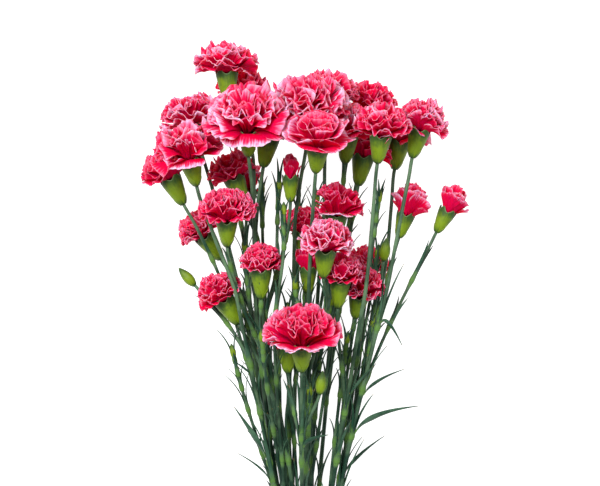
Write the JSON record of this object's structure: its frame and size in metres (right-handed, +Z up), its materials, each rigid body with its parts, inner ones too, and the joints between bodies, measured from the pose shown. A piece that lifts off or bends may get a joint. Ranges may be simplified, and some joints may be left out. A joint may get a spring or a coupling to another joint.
{
  "type": "bunch of cut carnations",
  "caption": "Bunch of cut spray carnations with ruffled pink heads, green calyces, thin branching stems and narrow leaves, tied with a rubber band and lying on its side.",
  "frame": {"origin": "middle of the bunch's footprint, on the table it lies on", "axes": "+Y along the stems from the cut ends to the flowers, +Z up off the table, +X to the right seen from above with the flowers away"},
  "size_m": [0.209, 0.5052, 0.1371],
  "materials": {
    "petals": "soft matt petals, vivid crimson pink with paler ragged margins",
    "stem": "waxy blue-green stems, yellow-green calyces and swollen nodes",
    "leaf": "waxy blue-green narrow blades",
    "band": "plain natural rubber, slightly dusty"
  },
  "bodies": {
    "root": {"bloom_back_middle": "petals", "bloom_back_right": "petals", "bloom_back_top": "petals", "bloom_back_under": "petals", "bloom_crown": "petals", "bloom_crown_back": "petals", "bloom_crown_low": "petals", "bloom_front_cup": "petals", "bloom_front_dome": "petals", "bloom_front_left": "petals", "bloom_front_low": "petals", "bloom_front_low_back": "petals", "bloom_front_low_cup": "petals", "bloom_inner_low": "petals", "bloom_left_dark": "petals", "bloom_left_high": "petals", "bloom_left_inner": "petals", "bloom_left_low": "petals", "bloom_left_outer": "petals", "bloom_left_wide": "petals", "bloom_low_left": "petals", "bloom_middle_closed": "petals", "bloom_middle_hidden": "petals", "bloom_middle_left": "petals", "bloom_middle_low": "petals", "bloom_middle_top": "petals", "bloom_right_behind": "petals", "bloom_right_far": "petals", "bloom_right_front": "petals", "bloom_right_high": "petals", "bloom_right_low": "petals", "bloom_right_low_back": "petals", "bloom_right_nod": "petals", "bloom_right_small": "petals", "leaf_band_left": "leaf", "leaf_band_right": "leaf", "leaf_front": "leaf", "leaf_inner_right": "leaf", "leaf_left_thin": "leaf", "leaf_left_tip": "leaf", "leaf_left_wide": "leaf", "leaf_right_arched": "leaf", "leaf_right_high": "leaf", "leaf_right_long": "leaf", "leaf_right_thin": "leaf", "rubber_band": "band", "stem_01": "stem", "stem_02": "stem", "stem_03": "stem", "stem_04": "stem", "stem_05": "stem", "stem_06": "stem", "stem_07": "stem", "stem_08": "stem", "stem_09": "stem", "stem_10": "stem", "stem_11": "stem", "stem_12": "stem", "stem_13": "stem", "stem_14": "stem"}
  },
  "joints": []
}
